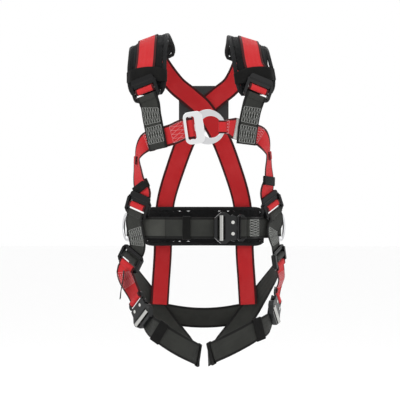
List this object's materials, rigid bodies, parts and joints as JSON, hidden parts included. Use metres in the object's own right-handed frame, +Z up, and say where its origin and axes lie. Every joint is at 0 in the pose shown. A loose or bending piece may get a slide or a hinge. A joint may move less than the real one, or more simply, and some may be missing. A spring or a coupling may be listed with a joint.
{
  "type": "safety harness",
  "caption": "Full-body fall-arrest and work-positioning harness with padded shoulders, sternal ring link, waist belt, side and dorsal D-rings and leg loops with quick-connect buckles.",
  "frame": {"origin": "centre of the waist belt's loop at the belt's mid height, where the wearer's waist goes", "axes": "+Z up along the wearer, the harness's front faces -Y, the wearer's right side is at -X"},
  "size_m": [0.3681, 0.2737, 0.7277],
  "materials": {
    "pad_fabric": "air-mesh padding fabric",
    "red_webbing": "two-tone polyester webbing, red with black edges",
    "black_webbing": "polyester webbing, dark grey with black edges",
    "black_elastic": "woven elastic",
    "polished_bar": "polished steel bar",
    "silver_steel": "bright satin steel",
    "ring_steel": "forged ring, zinc plated",
    "rivet_steel": "polished rivet heads",
    "spring_steel": "spring leaf",
    "black_plastic": "moulded, fine grain",
    "black_metal": "black plated, semi-gloss"
  },
  "bodies": {
    "harness": {"buckle_rivets": "rivet_steel", "chest_strap_l": "red_webbing", "chest_strap_r": "red_webbing", "chest_web_l": "black_webbing", "chest_web_r": "black_webbing", "dorsal_plate": "black_plastic", "hip_adjuster_l": "black_metal", "hip_adjuster_r": "black_metal", "hip_web_l": "black_webbing", "hip_web_r": "black_webbing", "leg_l_buckle_cover": "black_metal", "leg_l_buckle_grip": "polished_bar", "leg_l_buckle_housing": "black_metal", "leg_l_buckle_tongue": "black_metal", "leg_r_buckle_cover": "black_metal", "leg_r_buckle_grip": "polished_bar", "leg_r_buckle_housing": "black_metal", "leg_r_buckle_tongue": "black_metal", "leg_strap_l": "black_webbing", "leg_strap_r": "black_webbing", "lever_springs": "spring_steel", "lumbar_pad": "pad_fabric", "seat_strap": "black_webbing", "shoulder_adjuster_l": "black_metal", "shoulder_adjuster_r": "black_metal", "shoulder_pad_l": "pad_fabric", "shoulder_pad_r": "pad_fabric", "shoulder_strap_l": "red_webbing", "shoulder_strap_r": "red_webbing", "side_strap_l": "red_webbing", "side_strap_r": "red_webbing", "sternal_hook": "silver_steel", "sternal_ring": "silver_steel", "strap_keepers": "black_elastic", "thigh_adjuster_l": "black_metal", "thigh_adjuster_r": "black_metal", "thigh_strap_l": "red_webbing", "thigh_strap_r": "red_webbing", "waist_belt": "black_webbing", "waist_buckle_cover": "black_metal", "waist_buckle_grip": "polished_bar", "waist_buckle_housing": "black_metal", "waist_buckle_tongue": "black_metal", "waist_tab": "black_webbing"},
    "shoulder_bar_r": {"shoulder_bar_r": "black_metal"},
    "hip_bar_r": {"hip_bar_r": "black_metal"},
    "thigh_bar_r": {"thigh_bar_r": "black_metal"},
    "side_ring_r": {"side_ring_r": "ring_steel"},
    "shoulder_bar_l": {"shoulder_bar_l": "black_metal"},
    "hip_bar_l": {"hip_bar_l": "black_metal"},
    "thigh_bar_l": {"thigh_bar_l": "black_metal"},
    "side_ring_l": {"side_ring_l": "ring_steel"},
    "waist_lever_a": {"waist_lever_a": "black_metal"},
    "waist_lever_b": {"waist_lever_b": "black_metal"},
    "leg_r_lever_a": {"leg_r_lever_a": "black_metal"},
    "leg_r_lever_b": {"leg_r_lever_b": "black_metal"},
    "leg_l_lever_a": {"leg_l_lever_a": "black_metal"},
    "leg_l_lever_b": {"leg_l_lever_b": "black_metal"},
    "dorsal_ring": {"dorsal_ring": "ring_steel"},
    "hook_gate": {"hook_gate": "silver_steel"}
  },
  "joints": [
    {"name": "shoulder_bar_r_slide", "type": "slide", "parent": "harness", "child": "shoulder_bar_r", "axis": [-0.3059, 0.1114, 0.9455], "range_m": [0, 0.0025]},
    {"name": "hip_bar_r_slide", "type": "slide", "parent": "harness", "child": "hip_bar_r", "axis": [0.2634, -0.1914, 0.9455], "range_m": [0, 0.0025]},
    {"name": "thigh_bar_r_slide", "type": "slide", "parent": "harness", "child": "thigh_bar_r", "axis": [0.4176, -0.3263, 0.848], "range_m": [0, 0.0025]},
    {"name": "side_ring_r_swing", "type": "hinge", "parent": "harness", "child": "side_ring_r", "pos_m": [-0.16224, -0.01298, 0], "axis": [0, 0, 1], "range_deg": [0, 100]},
    {"name": "shoulder_bar_l_slide", "type": "slide", "parent": "harness", "child": "shoulder_bar_l", "axis": [0.3253, 0.1057, 0.9397], "range_m": [0, 0.0025]},
    {"name": "hip_bar_l_slide", "type": "slide", "parent": "harness", "child": "hip_bar_l", "axis": [-0.2933, -0.3258, 0.8988], "range_m": [0, 0.0025]},
    {"name": "thigh_bar_l_slide", "type": "slide", "parent": "harness", "child": "thigh_bar_l", "axis": [-0.1391, -0.3125, 0.9397], "range_m": [0, 0.0025]},
    {"name": "side_ring_l_swing", "type": "hinge", "parent": "harness", "child": "side_ring_l", "pos_m": [0.16224, -0.01298, 0], "axis": [0, 0, 1], "range_deg": [-100, 0]},
    {"name": "waist_lever_a_press", "type": "hinge", "parent": "harness", "child": "waist_lever_a", "pos_m": [0.06025, -0.11986, -0.012], "axis": [0.1392, -0.9903, 0], "range_deg": [0, 12], "stiffness_Nm_per_rad": 0.3, "springref_deg": -14.32},
    {"name": "waist_lever_b_press", "type": "hinge", "parent": "harness", "child": "waist_lever_b", "pos_m": [0.06025, -0.11986, 0.012], "axis": [0.1392, -0.9903, 0], "range_deg": [-12, 0], "stiffness_Nm_per_rad": 0.3, "springref_deg": 14.32},
    {"name": "leg_r_lever_a_press", "type": "hinge", "parent": "harness", "child": "leg_r_lever_a", "pos_m": [-0.13243, -0.08844, -0.16349], "axis": [-0.788, -0.6157, 0], "range_deg": [0, 12], "stiffness_Nm_per_rad": 0.3, "springref_deg": -14.32},
    {"name": "leg_r_lever_b_press", "type": "hinge", "parent": "harness", "child": "leg_r_lever_b", "pos_m": [-0.14375, -0.07396, -0.17892], "axis": [-0.788, -0.6157, 0], "range_deg": [-12, 0], "stiffness_Nm_per_rad": 0.3, "springref_deg": 14.32},
    {"name": "leg_l_lever_a_press", "type": "hinge", "parent": "harness", "child": "leg_l_lever_a", "pos_m": [0.15794, -0.04972, -0.17358], "axis": [0.9511, -0.309, 0], "range_deg": [0, 12], "stiffness_Nm_per_rad": 0.3, "springref_deg": -14.32},
    {"name": "leg_l_lever_b_press", "type": "hinge", "parent": "harness", "child": "leg_l_lever_b", "pos_m": [0.15243, -0.06668, -0.15753], "axis": [0.9511, -0.309, 0], "range_deg": [-12, 0], "stiffness_Nm_per_rad": 0.3, "springref_deg": 14.32},
    {"name": "dorsal_ring_flip", "type": "hinge", "parent": "harness", "child": "dorsal_ring", "pos_m": [0, 0.1315, 0.268], "axis": [1, 0, 0], "range_deg": [0, 150]},
    {"name": "hook_gate_slide", "type": "slide", "parent": "harness", "child": "hook_gate", "axis": [-0.1392, 0, 0.9903], "range_m": [0, 0.015], "stiffness_N_per_m": 150, "springref_m": -0.006}
  ]
}
